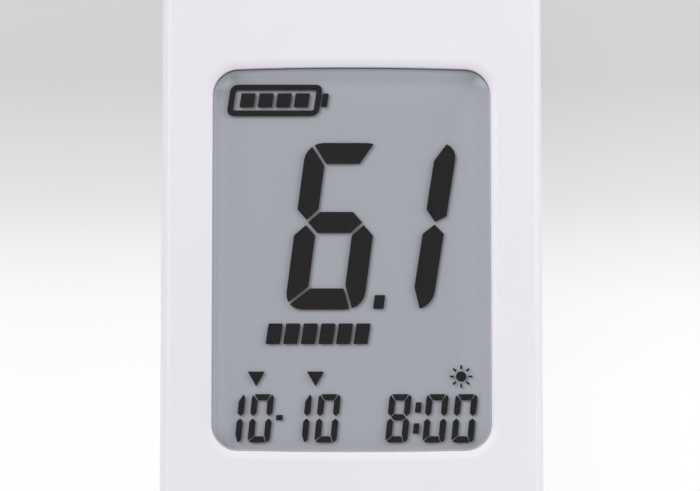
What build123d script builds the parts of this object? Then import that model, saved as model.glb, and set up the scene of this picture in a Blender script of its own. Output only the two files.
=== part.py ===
"""Blood glucose meter, lying on its back.

Millimetres. +Z is the display side, +Y is the end that takes the test strip, and the origin
is at the middle of the surface that the meter lies on.
"""
from build123d import *
import os

os.makedirs("parts", exist_ok=True)

# --- Case -----------------------------------------------------------------------------
case_width = 46.0
case_length = 96.0
case_end_bow = 1.5
case_corner_radius = 9.0
back_face = 0.6
parting_height = 10.5
front_face = 18.5
side_wall = 1.6
back_wall = 1.6
front_wall = 1.6
front_edge_radius = 1.3
back_edge_radius = 3.0
cut_overrun = 2.0
seam_gap = 0.25
tongue_thickness = 0.75
tongue_height = 1.2
tongue_clearance = 0.08

# --- Window, lens and display ---------------------------------------------------------
window_to_case_side = 6.19
window_to_case_top = 18.0
window_to_case_bottom = 31.5
window_top_bow = 0.36
window_bottom_bow = 0.24
window_corner_radius = 3.2
window_wall = 1.05
dish_width = 1.1
dish_depth = 0.25
lens_recess = 0.4
lens_clearance = 0.06
lens_flange_reach = 1.5
lens_flange_thickness = 0.5
lens_flange_clearance = 0.15
lens_edge_chamfer = 0.15
lens_tape_thickness = 0.1
glass_margin = 1.4
glass_ledge = 3.2
glass_thickness = 0.4
polariser_thickness = 0.15
reflector_thickness = 0.15
polariser_to_lens = 0.1
polariser_margin = 0.7
gasket_clearance = 0.2
tape_inner_margin = 0.35
tape_outer_margin = 1.3
holder_wall = 1.1
holder_floor = 0.8
holder_clearance = 0.15
connector_strip_width = 1.8
connector_strip_to_glass_side = 2.3
connector_strip_clearance = 0.1
holder_peg_radius = 0.5
holder_peg_length = 0.9
holder_peg_inset = 3.0
holder_peg_clearance = 0.05

# --- Keys and their switches ----------------------------------------------------------
key_centre_below_window = 15.3
main_key_radius = 7.0
side_key_inner_radius = 9.0
side_key_to_case_side = 7.5
side_key_half_angle = 34.0
side_key_corner_radius = 1.6
key_proud = 0.5
key_clearance = 0.15
key_flange_reach = 0.7
key_flange_thickness = 0.7
key_flange_gap = 0.1
key_edge_radius = 0.4
key_travel = 0.5
key_dish_radius = 60.0
key_dish_depth = 0.2
key_mark_depth = 0.15
key_shell = 1.2
plunger_radius = 1.5
arrow_half_height = 1.3
arrow_length = 2.2
power_mark_radius = 2.3
power_mark_width = 0.5
switch_size = 5.0
switch_height = 2.9
switch_wall = 0.7
switch_floor = 0.5
stem_radius = 1.2
stem_proud = 0.7
stem_foot_radius = 1.6
stem_foot_thickness = 0.5
stem_clearance = 0.08

# --- Battery bay ----------------------------------------------------------------------
cell_diameter = 20.0
cell_thickness = 3.2
cell_cap_diameter = 17.6
cell_cap_height = 0.25
cell_edge_radius = 0.3
cell_to_well = 0.4
cell_to_door = 0.2
cell_to_roof = 0.6
well_wall = 1.0
well_web = 0.8
roof_thickness = 1.2
bulkhead_thickness = 1.0
door_to_well = 1.8
door_skin = 1.4
door_toe_wall = 1.6
door_toe_height = 8.0
door_clearance = 0.2
door_tongue_reach = 0.8
door_tongue_thickness = 0.6
door_tongue_lift = 0.55
door_tongue_clearance = 0.1
door_nose_inset = 3.0
door_nose_reach = 0.5
ridge_count = 6
ridge_pitch = 1.7
ridge_width = 0.8
ridge_depth = 0.3
ridge_length = 12.0
contact_thickness = 0.25
contact_width = 3.0
side_contact_width = 2.4
contact_clearance = 0.05
contact_slot = 0.7
contact_reach = 6.0
contact_tip = 1.2

# --- Board and what it carries --------------------------------------------------------
board_thickness = 1.0
board_to_roof = 2.1
board_to_wall = 0.5
controller_size = 10.0
controller_height = 1.4
controller_above_bay = 12.0
amplifier_size = 6.0
amplifier_height = 0.9
memory_to_board_side = 4.9
memory_width = 4.0
memory_length = 5.0
memory_height = 1.5
crystal_length = 7.0
crystal_radius = 1.2
buzzer_radius = 5.0
buzzer_height = 2.6
buzzer_hole_radius = 0.8
chip_part_length = 1.6
chip_part_width = 0.8
chip_part_height = 0.6
chip_part_rows = 4
chip_part_row_pitch = 2.0
chip_part_columns = 2
chip_part_column_pitch = 3.0

# --- Strip port -----------------------------------------------------------------------
strip_width = 7.0
strip_thickness = 0.5
strip_side_clearance = 0.25
strip_height_over_board = 1.3
strip_play = 0.4
port_length = 9.0
port_wall = 1.1
port_side_wall = 2.6
strip_contact_count = 5
strip_contact_pitch = 1.3
strip_contact_width = 0.6
strip_contact_thickness = 0.2
bezel_half_width = 7.4
bezel_height = 4.4
bezel_recess = 0.2
bezel_clearance = 0.1
bezel_flange_reach = 0.9
bezel_flange_thickness = 1.1
bezel_mouth = 0.7

# --- Data socket ----------------------------------------------------------------------
socket_to_end = 28.0
socket_length = 10.0
socket_width = 6.0
socket_height = 5.2
socket_nose_radius = 2.5
socket_nose_clearance = 0.1
socket_nose_recess = 0.3
socket_bore_radius = 1.3
sleeve_radius = 1.9
sleeve_length = 3.5
sleeve_clearance = 0.02

# --- Screws, feet and label -----------------------------------------------------------
upper_screw_to_side = 7.2
upper_screw_to_end = 9.7
lower_screw_to_side = 5.0
lower_screw_above_keys = 6.4
post_radius = 2.5
boss_radius = 2.7
screw_radius = 1.0
screw_clearance = 0.3
screw_hole_clearance = 0.05
screw_head_radius = 1.9
screw_head_height = 1.4
screw_head_clearance = 0.2
screw_head_depth = 3.4
screw_grip = 4.5
screw_slot_width = 0.5
screw_slot_depth = 0.7
foot_radius = 2.5
foot_seat_depth = 0.5
foot_clearance = 0.1
upper_foot_to_end = 22.0
lower_foot_to_end = 10.0
foot_edge_radius = 0.3
label_width = 25.0
label_to_bay = 5.8
label_to_case_top = 20.0
label_thickness = 0.12
label_recess = 0.15
label_corner_radius = 1.5
label_clearance = 0.1
sound_slot_count = 3
sound_slot_pitch = 1.8
sound_slot_length = 5.0
sound_slot_width = 0.8

# --- Places that follow from the sizes ------------------------------------------------
case_top = case_length / 2
case_bottom = -case_length / 2
front_inside = front_face - front_wall
back_inside = back_face + back_wall
back_rim = parting_height - seam_gap

window_high = case_top - window_to_case_top
window_low = case_bottom + window_to_case_bottom
window_width = case_width - 2 * window_to_case_side
lens_top = front_face - lens_recess
rebate_top = front_face - window_wall
tape_bottom = rebate_top - lens_tape_thickness
flange_bottom = tape_bottom - lens_flange_thickness
polariser_top = flange_bottom - polariser_to_lens
front_glass_top = polariser_top - polariser_thickness
front_glass_bottom = front_glass_top - glass_thickness
back_glass_bottom = front_glass_bottom - glass_thickness
reflector_bottom = back_glass_bottom - reflector_thickness
glass_width = window_width + 2 * glass_margin
connector_strip_length = glass_width - 2 * connector_strip_to_glass_side
back_glass_high = window_high + glass_margin
back_glass_low = window_low - glass_margin
front_glass_high = back_glass_high
front_glass_low = back_glass_low - glass_ledge
ledge_middle = (back_glass_low + front_glass_low) / 2
holder_high = front_glass_high + holder_clearance + holder_wall
holder_low = front_glass_low - holder_clearance - holder_wall
holder_half_width = glass_width / 2 + holder_clearance + holder_wall

door_inside = back_face + door_skin
cell_bottom = door_inside + cell_to_door
cell_top = cell_bottom + cell_thickness
roof_bottom = cell_top + cell_to_roof
roof_top = roof_bottom + roof_thickness
board_bottom = roof_top + board_to_roof
board_top = board_bottom + board_thickness
cell_radius = cell_diameter / 2
well_radius = cell_radius + cell_to_well
door_half_width = well_radius + door_to_well
toe_inside = case_bottom + door_toe_wall
bulkhead_outside = toe_inside + door_clearance
bulkhead_inside = bulkhead_outside + bulkhead_thickness
lower_cell_y = bulkhead_inside + well_radius
upper_cell_y = lower_cell_y + 2 * well_radius + well_web
cell_places = [(0, lower_cell_y), (0, upper_cell_y)]
bay_high = upper_cell_y + well_radius + well_wall
bay_half_width = door_half_width + door_clearance + well_wall
door_high = bay_high - well_wall
door_tongue_low = case_bottom + back_edge_radius + door_tongue_reach
door_tongue_bottom = back_face + door_tongue_lift
door_nose_half = door_half_width - door_nose_inset

key_centre_y = window_low - key_centre_below_window
key_top = front_face + key_proud
key_flange_top = front_inside - key_flange_gap
key_flange_bottom = key_flange_top - key_flange_thickness
switch_top = board_top + switch_height
stem_top = switch_top + stem_proud
stem_foot = board_top + switch_floor + key_travel + stem_clearance
side_key_outer_radius = case_width / 2 - side_key_to_case_side
side_key_middle = (side_key_inner_radius + side_key_outer_radius) / 2
key_places = {
    "main": (0, key_centre_y),
    "left": (-side_key_middle, key_centre_y),
    "right": (side_key_middle, key_centre_y),
}

upper_screw_x = case_width / 2 - upper_screw_to_side
lower_screw_x = case_width / 2 - lower_screw_to_side
screw_places = [
    (-upper_screw_x, case_top - upper_screw_to_end),
    (upper_screw_x, case_top - upper_screw_to_end),
    (-lower_screw_x, key_centre_y + lower_screw_above_keys),
    (lower_screw_x, key_centre_y + lower_screw_above_keys),
]
screw_seat = back_face + screw_head_depth
screw_end = board_top + screw_grip
foot_x = (door_half_width + door_clearance + case_width / 2 - back_edge_radius) / 2
foot_ys = (case_bottom + lower_foot_to_end, case_top - upper_foot_to_end)
foot_places = [(sign * foot_x, y) for sign in (-1, 1) for y in foot_ys]
label_low = bay_high + label_to_bay
label_high = case_top - label_to_case_top
label_length = label_high - label_low
foot_seat = back_face + foot_seat_depth

strip_middle = board_top + strip_height_over_board
wall_inside_high = case_top - side_wall
bezel_flange_half = bezel_half_width + bezel_flange_reach
bezel_flange_bow = case_end_bow * (bezel_flange_half / (case_width / 2)) ** 2
bezel_flange_front = wall_inside_high - bezel_clearance - bezel_flange_bow
bezel_flange_back = bezel_flange_front - bezel_flange_thickness
bezel_low = strip_middle - bezel_height / 2
port_front = bezel_flange_back - bezel_clearance
port_back = port_front - port_length - port_wall
port_half_slot = strip_width / 2 + strip_side_clearance
port_slot_top = strip_middle + strip_thickness / 2 + strip_play / 2
port_slot_bottom = strip_middle - strip_thickness / 2 - strip_play / 2
port_top = port_slot_top + port_wall
board_notch_half_width = bezel_flange_half + board_to_wall

socket_y = case_top - socket_to_end
socket_middle = board_bottom - socket_height / 2
socket_face = -case_width / 2 + socket_nose_recess
socket_body_face = -case_width / 2 + side_wall + socket_nose_clearance
buzzer_y = port_back + buzzer_radius - port_wall
controller_place = (0, bay_high + controller_above_bay)
board_side = case_width / 2 - side_wall - board_to_wall
memory_place = (board_side - memory_to_board_side - memory_width / 2,
                bay_high + controller_above_bay)
amplifier_place = (0, port_back - amplifier_size)
crystal_place = (-controller_size, bay_high + crystal_length)
chip_parts_place = (controller_size, controller_place[1] + controller_size)
peg_places = [(sign * (holder_half_width - holder_wall / 2), y) for sign in (-1, 1)
              for y in (holder_low + holder_peg_inset, holder_high - holder_peg_inset)]


# --- Outlines and helpers -------------------------------------------------------------
def crowned_plan(width, low, high, low_bow, high_bow, radius):
    """An upright rectangle with bowed ends and rounded corners, as a sketch."""
    half = width / 2
    with BuildSketch() as plan:
        with BuildLine():
            bottom = ThreePointArc((-half, low + low_bow), (0, low), (half, low + low_bow))
            top = ThreePointArc((half, high - high_bow), (0, high), (-half, high - high_bow))
            Line(bottom @ 1, top @ 0)
            Line(top @ 1, bottom @ 0)
        make_face()
        fillet(plan.vertices(), radius)
    return plan.sketch


def ring_segment_plan(side):
    """A rounded ring segment beside the main key: side is -1 for the left and 1 for the right."""
    turn = 0 if side > 0 else 180
    with BuildSketch() as plan:
        with BuildLine():
            near = CenterArc((0, key_centre_y), side_key_inner_radius,
                             turn - side_key_half_angle, 2 * side_key_half_angle)
            far = CenterArc((0, key_centre_y), side_key_outer_radius,
                            turn - side_key_half_angle, 2 * side_key_half_angle)
            Line(near @ 0, far @ 0)
            Line(near @ 1, far @ 1)
        make_face()
        fillet(plan.vertices(), side_key_corner_radius)
    return plan.sketch


def round_plan(x, y, radius):
    """A disc as a sketch."""
    with BuildSketch() as plan:
        with Locations((x, y)):
            Circle(radius)
    return plan.sketch


def grown(plan, growth):
    """A plan drawn out by a growth, or drawn in where it is negative."""
    with BuildSketch() as result:
        add(plan)
        offset(amount=growth)
    return result.sketch


def prism(plan, low, high, mode=Mode.ADD):
    """Extrude a plan between two heights, into the current part."""
    with BuildSketch(Plane.XY.offset(low)) as base:
        add(plan)
    extrude(base.sketch, amount=high - low, mode=mode)


def block(x_span, y_span, z_span, mode=Mode.ADD):
    """A block between two limits along each axis, in the current part."""
    middle = [(span[0] + span[1]) / 2 for span in (x_span, y_span, z_span)]
    size = [abs(span[1] - span[0]) for span in (x_span, y_span, z_span)]
    with Locations(tuple(middle)):
        Box(*size, mode=mode)


def cylinders(places, radius, low, high, mode=Mode.ADD):
    """Upright cylinders on a list of places, in the current part."""
    with Locations(*[(x, y, (low + high) / 2) for x, y in places]):
        Cylinder(radius, high - low, mode=mode)


def finish_part(builder, name):
    """Label a piece and write its own STEP file."""
    builder.part.label = name
    export_step(builder.part, f"parts/{name}.step")


case_plan = crowned_plan(case_width, case_bottom, case_top, case_end_bow, case_end_bow,
                         case_corner_radius)
inside_plan = grown(case_plan, -side_wall)
window_plan = crowned_plan(window_width, window_low, window_high, window_bottom_bow,
                           window_top_bow, window_corner_radius)
key_plans = {
    "main": round_plan(0, key_centre_y, main_key_radius),
    "left": ring_segment_plan(-1),
    "right": ring_segment_plan(1),
}
with BuildSketch() as label_sketch:
    with Locations((0, (label_low + label_high) / 2)):
        RectangleRounded(label_width, label_length, label_corner_radius)
label_plan = label_sketch.sketch

# --- Case halves ----------------------------------------------------------------------
with BuildPart() as front_housing:
    prism(case_plan, parting_height, front_face)
    fillet(front_housing.edges().group_by(Axis.Z)[-1], front_edge_radius)
    prism(inside_plan, parting_height, front_inside, Mode.SUBTRACT)
    # Rebate for the tongue of the back half.
    prism(grown(inside_plan, tongue_thickness + tongue_clearance), parting_height,
          parting_height + tongue_height + tongue_clearance, Mode.SUBTRACT)
    # Window, with a rebate behind it for the lens's flange and a shallow dish round its edge.
    prism(grown(window_plan, lens_flange_reach + lens_flange_clearance), front_inside, rebate_top,
          Mode.SUBTRACT)
    prism(window_plan, rebate_top, front_face, Mode.SUBTRACT)
    top_face = front_housing.faces().sort_by(Axis.Z)[-1]
    chamfer(top_face.inner_wires()[0].edges(), length=dish_width, length2=dish_depth,
            reference=top_face)
    # Key openings.
    for plan in key_plans.values():
        prism(grown(plan, key_clearance), front_inside, front_face, Mode.SUBTRACT)
    # Screw posts that come down onto the board.
    cylinders(screw_places, post_radius, board_top, front_inside)
    cylinders(screw_places, screw_radius + screw_hole_clearance, board_top,
              screw_end + screw_clearance, Mode.SUBTRACT)
    # Opening for the strip port's bezel.
    block((-bezel_half_width - bezel_clearance, bezel_half_width + bezel_clearance),
          (port_front, case_top + cut_overrun),
          (parting_height, bezel_low + bezel_height + bezel_clearance), Mode.SUBTRACT)
finish_part(front_housing, "front_housing")


def back_form():
    """The outer form of the back half, in the current part."""
    prism(case_plan, back_face, back_rim)
    fillet(edges().group_by(Axis.Z)[0], back_edge_radius)


# The hollow of the back half, rounded like the outside so that the wall stays even.
with BuildPart() as back_hollow:
    prism(inside_plan, back_inside, parting_height + tongue_height)
    fillet(back_hollow.edges().group_by(Axis.Z)[0], back_edge_radius - back_wall / 2)

# What is left out between the walls of the battery bay and its round wells.
with BuildPart() as bay_cores:
    block((-bay_half_width + well_wall, bay_half_width - well_wall),
          (bulkhead_inside, bay_high - well_wall), (back_inside, roof_bottom))
    cylinders(cell_places, well_radius + well_wall, back_inside, roof_bottom, Mode.SUBTRACT)

with BuildPart() as back_housing:
    back_form()
    # Tongue that stands up inside the front half.
    prism(grown(inside_plan, tongue_thickness), back_rim, parting_height + tongue_height)
    add(back_hollow.part, mode=Mode.SUBTRACT)
    # Battery bay: outer wall, roof, round wells, and the bulkhead behind the door's toe.
    block((-bay_half_width, bay_half_width), (bulkhead_outside, bay_high), (back_inside, roof_top))
    block((-bay_half_width, bay_half_width), (case_bottom + door_toe_wall / 2, bulkhead_inside),
          (door_toe_height + door_clearance, board_bottom))
    block((-bay_half_width, bay_half_width), (bulkhead_outside, bulkhead_inside),
          (roof_bottom, door_toe_height + 2 * door_clearance))
    add(bay_cores.part, mode=Mode.SUBTRACT)
    cylinders(cell_places, well_radius, back_face, roof_bottom, Mode.SUBTRACT)
    # Slots in the bay's roof for the battery contacts.
    for cell_x, cell_y in cell_places:
        half_slot = contact_width / 2 + contact_clearance
        for slot_x in (cell_x, cell_x + cell_radius + contact_thickness / 2):
            block((slot_x - contact_slot / 2, slot_x + contact_slot / 2),
                  (cell_y - half_slot, cell_y + half_slot), (roof_bottom, roof_top), Mode.SUBTRACT)
    # Opening for the battery door, its toe, and the grooves for its tongues.
    opening_half = door_half_width + door_clearance
    groove_half = door_half_width + door_tongue_reach + door_tongue_clearance
    block((-opening_half, opening_half), (case_bottom - cut_overrun, door_high + door_clearance),
          (0, back_inside), Mode.SUBTRACT)
    block((-opening_half, opening_half), (case_bottom - cut_overrun, bulkhead_outside),
          (0, door_toe_height + door_clearance), Mode.SUBTRACT)
    groove_low = door_tongue_bottom - door_tongue_clearance
    groove_high = door_tongue_bottom + door_tongue_thickness + door_tongue_clearance
    block((-groove_half, groove_half), (case_bottom - cut_overrun, door_high + door_clearance),
          (groove_low, groove_high), Mode.SUBTRACT)
    block((-door_nose_half - door_tongue_clearance, door_nose_half + door_tongue_clearance),
          (door_high, door_high + door_nose_reach + door_clearance), (groove_low, back_inside),
          Mode.SUBTRACT)
    # Screw bosses under the board, with a well for each head.
    cylinders(screw_places, boss_radius, back_inside, board_bottom)
    cylinders(screw_places, screw_radius + screw_clearance, back_face, board_bottom, Mode.SUBTRACT)
    cylinders(screw_places, screw_head_radius + screw_head_clearance, back_face, screw_seat,
              Mode.SUBTRACT)
    # Seats for the feet and the label, and slots over the buzzer.
    cylinders(foot_places, foot_radius + foot_clearance, back_face, foot_seat, Mode.SUBTRACT)
    prism(grown(label_plan, label_clearance), back_face, back_face + label_recess, Mode.SUBTRACT)
    with BuildSketch(Plane.XY.offset(back_face)) as sound_slots:
        with Locations((0, buzzer_y)):
            with GridLocations(sound_slot_pitch, 0, sound_slot_count, 1):
                SlotOverall(sound_slot_length, sound_slot_width, rotation=90)
    extrude(sound_slots.sketch, amount=back_wall, mode=Mode.SUBTRACT)
    # Openings for the data socket and the strip port's bezel.
    with Locations((-case_width / 2, socket_y, socket_middle)):
        Cylinder(socket_nose_radius + socket_nose_clearance, 2 * (side_wall + cut_overrun),
                 rotation=(0, 90, 0), mode=Mode.SUBTRACT)
    block((-bezel_half_width - bezel_clearance, bezel_half_width + bezel_clearance),
          (port_front, case_top + cut_overrun),
          (bezel_low - bezel_clearance, parting_height + tongue_height), Mode.SUBTRACT)
finish_part(back_housing, "back_housing")

# --- Battery door, cells and contacts -------------------------------------------------
with BuildPart() as battery_door:
    back_form()
    # Only the skin over the bay and the toe at the end are kept.
    with BuildSketch(Plane.YZ) as door_profile:
        with BuildLine():
            Polyline((case_bottom - cut_overrun, 0), (door_high, 0), (door_high, door_inside),
                     (toe_inside, door_inside), (toe_inside, door_toe_height),
                     (case_bottom - cut_overrun, door_toe_height), close=True)
        make_face()
    extrude(door_profile.sketch, amount=door_half_width, both=True, mode=Mode.INTERSECT)
    # Tongues along both sides and at the inner end.
    tongue_half = door_half_width + door_tongue_reach
    tongue_top = door_tongue_bottom + door_tongue_thickness
    block((-tongue_half, tongue_half), (door_tongue_low, door_high),
          (door_tongue_bottom, tongue_top))
    block((-door_nose_half, door_nose_half), (door_high, door_high + door_nose_reach),
          (door_tongue_bottom, tongue_top))
    # Ridges for the thumb.
    with BuildSketch(Plane.XY.offset(back_face)) as ridges:
        with Locations((0, lower_cell_y)):
            with GridLocations(0, ridge_pitch, 1, ridge_count):
                SlotOverall(ridge_length, ridge_width)
    extrude(ridges.sketch, amount=ridge_depth, mode=Mode.SUBTRACT)
finish_part(battery_door, "battery_door")


def coin_cell(x, y):
    """A coin cell with its can down and its smaller cap on top."""
    with BuildPart() as cell:
        cylinders([(x, y)], cell_radius, cell_bottom, cell_top - cell_cap_height)
        fillet(cell.edges(), cell_edge_radius)
        cylinders([(x, y)], cell_cap_diameter / 2, cell_top - cell_cap_height, cell_top)
        fillet(cell.edges().group_by(Axis.Z)[-1], cell_cap_height / 2)
    return cell


lower_cell = coin_cell(*cell_places[0])
finish_part(lower_cell, "lower_coin_cell")
upper_cell = coin_cell(*cell_places[1])
finish_part(upper_cell, "upper_coin_cell")

with BuildPart() as negative_contacts:
    for cell_x, cell_y in cell_places:
        cell_plane = Plane(origin=(cell_x, cell_y, 0), x_dir=(1, 0, 0), z_dir=(0, -1, 0))
        touch_height = cell_top + contact_thickness / 2 + contact_clearance
        root_height = roof_bottom - contact_thickness / 2 - contact_clearance
        with BuildSketch(cell_plane) as leaf:
            with BuildLine():
                Polyline((0, board_bottom), (0, root_height), (contact_reach, touch_height),
                         (contact_reach + contact_tip, root_height))
            trace(line_width=contact_thickness)
        extrude(leaf.sketch, amount=contact_width / 2, both=True)
finish_part(negative_contacts, "negative_contacts")

with BuildPart() as positive_contacts:
    for cell_x, cell_y in cell_places:
        contact_near = cell_x + cell_radius + contact_clearance
        block((contact_near, contact_near + contact_thickness),
              (cell_y - side_contact_width / 2, cell_y + side_contact_width / 2),
              (cell_bottom + cell_edge_radius, board_bottom))
finish_part(positive_contacts, "positive_contacts")

# --- Lens and display -----------------------------------------------------------------
with BuildPart() as display_lens:
    prism(grown(window_plan, lens_flange_reach), flange_bottom, tape_bottom)
    prism(grown(window_plan, -lens_clearance), tape_bottom, lens_top)
    chamfer(display_lens.edges().group_by(Axis.Z)[-1], lens_edge_chamfer)
finish_part(display_lens, "display_lens")

with BuildPart() as lens_tape:
    prism(grown(window_plan, tape_outer_margin), tape_bottom, rebate_top)
    prism(grown(window_plan, tape_inner_margin), tape_bottom, rebate_top, Mode.SUBTRACT)
finish_part(lens_tape, "lens_tape")

glass_half = glass_width / 2
with BuildPart() as display_gasket:
    block((-glass_half, glass_half), (back_glass_low, back_glass_high),
          (front_glass_top, flange_bottom))
    prism(grown(window_plan, polariser_margin + gasket_clearance), front_glass_top, flange_bottom,
          Mode.SUBTRACT)
finish_part(display_gasket, "display_gasket")

with BuildPart() as front_polariser:
    prism(grown(window_plan, polariser_margin), front_glass_top, polariser_top)
finish_part(front_polariser, "front_polariser")

with BuildPart() as front_glass:
    block((-glass_half, glass_half), (front_glass_low, front_glass_high),
          (front_glass_bottom, front_glass_top))
finish_part(front_glass, "front_glass")

with BuildPart() as back_glass:
    block((-glass_half, glass_half), (back_glass_low, back_glass_high),
          (back_glass_bottom, front_glass_bottom))
finish_part(back_glass, "back_glass")

with BuildPart() as reflector:
    block((-glass_half, glass_half), (back_glass_low, back_glass_high),
          (reflector_bottom, back_glass_bottom))
finish_part(reflector, "reflector")

strip_slot_half = connector_strip_width / 2 + connector_strip_clearance
with BuildPart() as display_holder:
    block((-holder_half_width, holder_half_width), (holder_low, holder_high),
          (board_top, front_glass_top))
    pocket_half = glass_half + holder_clearance
    block((-pocket_half, pocket_half), (front_glass_low - holder_clearance,
                                        front_glass_high + holder_clearance),
          (front_glass_bottom, front_glass_top), Mode.SUBTRACT)
    block((-pocket_half, pocket_half), (back_glass_low - holder_clearance,
                                        back_glass_high + holder_clearance),
          (reflector_bottom, front_glass_bottom), Mode.SUBTRACT)
    block((-pocket_half, pocket_half), (back_glass_low - holder_clearance + holder_wall,
                                        back_glass_high + holder_clearance),
          (board_top, reflector_bottom - holder_floor), Mode.SUBTRACT)
    strip_slot_length = connector_strip_length / 2 + connector_strip_clearance
    block((-strip_slot_length, strip_slot_length),
          (ledge_middle - strip_slot_half, ledge_middle + strip_slot_half),
          (board_top, front_glass_bottom), Mode.SUBTRACT)
    cylinders(peg_places, holder_peg_radius, board_top - holder_peg_length, board_top)
finish_part(display_holder, "display_holder")

with BuildPart() as elastomeric_connector:
    block((-connector_strip_length / 2, connector_strip_length / 2),
          (ledge_middle - connector_strip_width / 2, ledge_middle + connector_strip_width / 2),
          (board_top, front_glass_bottom))
finish_part(elastomeric_connector, "elastomeric_connector")

# --- Keys and switches ----------------------------------------------------------------
for key_name, key_place in key_places.items():
    key_plan = key_plans[key_name]
    with BuildPart() as key:
        prism(grown(key_plan, key_flange_reach), key_flange_bottom, key_flange_top)
        prism(key_plan, key_flange_top, key_top)
        fillet(key.edges().group_by(Axis.Z)[-1], key_edge_radius)
        # Hollow underside, with a plunger over the switch.
        prism(grown(key_plan, -key_shell), key_flange_bottom, key_top - key_shell - key_dish_depth,
              Mode.SUBTRACT)
        cylinders([key_place], plunger_radius, stem_top, key_top - key_shell)
        if key_name == "main":
            dish_centre = key_top - key_dish_depth + key_dish_radius
            with Locations((*key_place, dish_centre)):
                Sphere(key_dish_radius, mode=Mode.SUBTRACT)
            mark_floor = key_top - key_dish_depth - key_mark_depth
            with BuildSketch(Plane.XY.offset(mark_floor)) as key_mark:
                with Locations(key_place):
                    Circle(power_mark_radius + power_mark_width / 2)
                    Circle(power_mark_radius - power_mark_width / 2, mode=Mode.SUBTRACT)
                with Locations((key_place[0], key_place[1] + power_mark_radius)):
                    Rectangle(3 * power_mark_width, 3 * power_mark_width, mode=Mode.SUBTRACT)
                    Rectangle(power_mark_width, power_mark_radius)
        else:
            outward = 1 if key_place[0] > 0 else -1
            mark_floor = key_top - key_mark_depth
            with BuildSketch(Plane.XY.offset(mark_floor)) as key_mark:
                tip = key_place[0] + outward * arrow_length / 2
                base = key_place[0] - outward * arrow_length / 2
                with BuildLine():
                    Polyline((tip, key_place[1]), (base, key_place[1] + arrow_half_height),
                             (base, key_place[1] - arrow_half_height), close=True)
                make_face()
        extrude(key_mark.sketch, amount=key_proud, mode=Mode.SUBTRACT)
    finish_part(key, f"{key_name}_key")

    switch_inside = switch_size - 2 * switch_wall
    with BuildPart() as switch_body:
        with Locations((*key_place, (board_top + switch_top) / 2)):
            Box(switch_size, switch_size, switch_height)
        chamfer(switch_body.edges().filter_by(Axis.Z), switch_wall / 2)
        cavity_low = board_top + switch_floor
        cavity_high = switch_top - switch_wall
        with Locations((*key_place, (cavity_low + cavity_high) / 2)):
            Box(switch_inside, switch_inside, cavity_high - cavity_low, mode=Mode.SUBTRACT)
        cylinders([key_place], stem_radius + stem_clearance, cavity_high, switch_top,
                  Mode.SUBTRACT)
    finish_part(switch_body, f"{key_name}_switch_body")

    with BuildPart() as switch_stem:
        cylinders([key_place], stem_radius, stem_foot, stem_top)
        cylinders([key_place], stem_foot_radius, stem_foot, stem_foot + stem_foot_thickness)
    finish_part(switch_stem, f"{key_name}_switch_stem")

# --- Board and its parts --------------------------------------------------------------
with BuildPart() as main_board:
    prism(grown(inside_plan, -board_to_wall), board_bottom, board_top)
    cylinders(screw_places, screw_radius + screw_clearance, board_bottom, board_top, Mode.SUBTRACT)
    cylinders(peg_places, holder_peg_radius + holder_peg_clearance, board_bottom, board_top,
              Mode.SUBTRACT)
    block((-board_notch_half_width, board_notch_half_width), (port_front, case_top),
          (board_bottom, board_top), Mode.SUBTRACT)
finish_part(main_board, "main_board")


def chip(place, width, length, height):
    """A moulded chip under the board, in the current part."""
    x, y = place
    block((x - width / 2, x + width / 2), (y - length / 2, y + length / 2),
          (board_bottom - height, board_bottom))


with BuildPart() as microcontroller:
    chip(controller_place, controller_size, controller_size, controller_height)
finish_part(microcontroller, "microcontroller")

with BuildPart() as strip_amplifier:
    chip(amplifier_place, amplifier_size, amplifier_size, amplifier_height)
finish_part(strip_amplifier, "strip_amplifier")

with BuildPart() as memory_chip:
    chip(memory_place, memory_width, memory_length, memory_height)
finish_part(memory_chip, "memory_chip")

with BuildPart() as crystal:
    with Locations((*crystal_place, board_bottom - crystal_radius)):
        Cylinder(crystal_radius, crystal_length, rotation=(90, 0, 0))
finish_part(crystal, "crystal")

with BuildPart() as chip_components:
    with Locations((*chip_parts_place, board_bottom - chip_part_height / 2)):
        with GridLocations(chip_part_column_pitch, chip_part_row_pitch,
                           chip_part_columns, chip_part_rows):
            Box(chip_part_length, chip_part_width, chip_part_height)
finish_part(chip_components, "chip_components")

with BuildPart() as buzzer:
    cylinders([(0, buzzer_y)], buzzer_radius, board_bottom - buzzer_height, board_bottom)
    fillet(buzzer.edges().group_by(Axis.Z)[0], buzzer_hole_radius / 2)
    cylinders([(0, buzzer_y)], buzzer_hole_radius, board_bottom - buzzer_height,
              board_bottom - buzzer_height / 2, Mode.SUBTRACT)
finish_part(buzzer, "buzzer")

# --- Strip port -----------------------------------------------------------------------
with BuildPart() as strip_connector:
    port_half = port_half_slot + port_side_wall
    block((-port_half, port_half), (port_back, port_front), (board_top, port_top))
    block((-port_half_slot, port_half_slot), (port_back + port_wall, port_front),
          (port_slot_bottom, port_slot_top), Mode.SUBTRACT)
    tail_half = (strip_contact_count * strip_contact_pitch) / 2
    block((-tail_half, tail_half), (port_back + port_wall, port_front),
          (board_top, port_slot_bottom), Mode.SUBTRACT)
    block((-tail_half, tail_half), (port_back, port_back + port_wall),
          (board_top, board_top + 2 * strip_contact_thickness), Mode.SUBTRACT)
finish_part(strip_connector, "strip_connector")

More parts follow.
